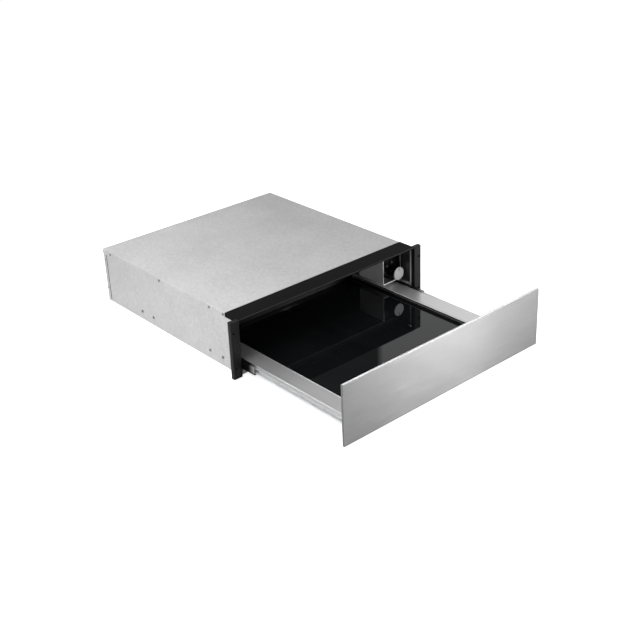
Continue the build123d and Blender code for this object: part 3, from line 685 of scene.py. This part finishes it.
controls = {
    "front": -237.6,  # the housing's open front, and its four sides
    "left": 207.6,
    "right": 266.8,
    "bottom": 45.3,
    "top": 109.6,
    "edgeRadius": 0.9,
    "rightRadius": 0.45,
    "face": -236.9,  # where the marks lie
    "marks": ((238.2, 97.6), (222.5, 90.5), (214.6, 75.7)),
    "markRadius": 3.1,
    "markStroke": 0.45,
    "markHeight": 0.06,
    "barHalf": 1.2,
    "barRadius": 0.3,
    "barFlat": 0.2,
    "barStep": 1.4,
}


def makeHousingEdge():
    left, right, front = controls["left"], controls["right"], controls["front"]
    bottom, top, radius = controls["bottom"], controls["top"], controls["edgeRadius"]
    bars = [
        rod((left, front, bottom), (left, front, top), radius),
        rod((left, front, bottom), (right, front, bottom), radius),
        rod((right, front, bottom), (right, front, top), controls["rightRadius"]),
    ]
    # the housing's front edges, coated pale as a painted highlight
    settle(joined(bars), "housingEdge", "painted_grey", "casing", coat="painted_highlight_edge")


def makeDialMarks():
    # rings with one, two and three bars, for the levels of heat
    outer, height, half = controls["markRadius"], controls["markHeight"], controls["barHalf"]
    inner = outer - controls["markStroke"]
    flat = Matrix.Diagonal((1, 1, controls["barFlat"], 1))
    shapes = []
    for index, (x, z) in enumerate(controls["marks"]):
        turn = Matrix.Translation((x, controls["face"], z)) @ Matrix.Rotation(math.pi / 2, 4, "X")
        ring = turned([(inner, 0), (outer, 0), (outer, height), (inner, height), (inner, 0)])
        shapes.append(moved(ring, turn))
        for step in range(index + 1):
            bar = rod((-half, 0, 0), (half, 0, 0), controls["barRadius"], steps=8)
            shift = Matrix.Translation((0, (step - index / 2) * controls["barStep"], height / 2))
            shapes.append(moved(bar, turn @ shift @ flat))
    settle(joined(shapes), "dialMarks", "grey_plastic", "casing")


makeHousingEdge()
makeDialMarks()
print("cavity and controls made")

edges = {
    # thin rods along edges, some coated as painted highlights, and black strips for the painted shade in the
    # rear gaps, which are flattened across
    "crossbarEdge": {
        # coated lighter than the bar as a painted highlight
        "slot": "black_paint", "coat": "painted_highlight_bar", "body": "casing", "radius": 0.75, "flat": 1,
        "runs": (
            ((-268.8, -282.8, 140.2), (268.8, -282.8, 140.2)),
            ((-268.8, -233.3, 140.2), (268.8, -233.3, 140.2)),
        ),
    },
    "trayEdgeLeft": {
        "slot": "drawer_steel", "coat": "drawer_steel", "body": "drawer", "radius": 0.8, "flat": 1,
        "runs": (((-213.6, -632.6, 35.5), (-213.6, -118, 35.5)),),
    },
    "trayEdgeRight": {
        # coated pale as a painted highlight
        "slot": "drawer_steel", "coat": "painted_highlight_edge", "body": "drawer", "radius": 0.9, "flat": 1,
        "runs": (((213.1, -632.6, 35.7), (213.1, -118, 35.7)),),
    },
    "shadowGapStrips": {
        # black strips standing in for the shade in the rear gaps, a painted shade
        "slot": "black_rubber", "coat": "black_rubber", "body": "casing", "radius": 2.0, "flat": 0.22,
        "runs": (
            ((-268.9, 258.4, 4), (-268.9, 258.4, 128)),
            ((268.9, 258.4, 4), (268.9, 258.4, 128)),
        ),
    },
}


def makeEdges():
    for name, value in edges.items():
        flat = Matrix.Diagonal((value["flat"], 1, 1, 1))
        bars = []
        for start, end in value["runs"]:
            across = Matrix.Translation((start[0], 0, 0))
            bar = rod(start, end, value["radius"])
            bars.append(moved(bar, across @ flat @ across.inverted()))
        settle(joined(bars), name, value["slot"], value["body"], coat=value["coat"])


makeEdges()
print("edges made")

trim = {
    # black strips between the glass and the tray's flanges
    "across": ((212.7, 213.7), (-213.7, -212.7)),
    "along": (-630.0, -119.5),
    "up": ((27.1, 29.6), (31.2, 34.6)),
    "soft": 0.3,
}
trayBack = {
    "half": 212.6,
    "rear": -119.2,
    "low": 21.2,
    "high": 41.9,
    "ledge": 6.6,  # the sheet is folded forwards at the bottom and the top
    "sheet": 0.9,
    "bend": 1.2,
}
panelRim = {"low": (-296, -640.3, 139.8), "high": (296, -635.8, 140.9), "soft": 0.4}
knobPointer = {"low": (233.5, -265.8, 83.5), "high": (235.1, -265.3, 91), "soft": 0.15}


def makeTrim():
    front, back = trim["along"]
    strips = []
    for low, high in trim["up"]:
        for left, right in trim["across"]:
            strips.append(slab((left, front, low), (right, back, high), trim["soft"]))
    settle(joined(strips), "glassTrim", "black_rubber", "drawer")


def makeTrayBack():
    half, rear, low, high = (trayBack[key] for key in ("half", "rear", "low", "high"))
    fold = rear - trayBack["ledge"]
    build = bmesh.new()
    corners = ((fold, low), (rear, low), (rear, high), (fold, high))
    profile = line(build, [(-half, y, z) for y, z in corners])
    pull(build, profile, (2 * half, 0, 0))
    rounded(build, bendsOf(build), trayBack["bend"])
    piece = settle(build, "trayBack", "black_enamel", "drawer", ("drawer_back",))
    thicken(piece, trayBack["sheet"])


makeTrim()
makeTrayBack()
# the panel's top rim, coated pale as a painted highlight
settle(slab(**panelRim), "panelRim", "stainless_front", "drawer", coat="painted_highlight_edge")
settle(slab(**knobPointer), "knobPointer", "black_moulding", "knob", coat="black_paint")
print("tray, front panel and knob made")
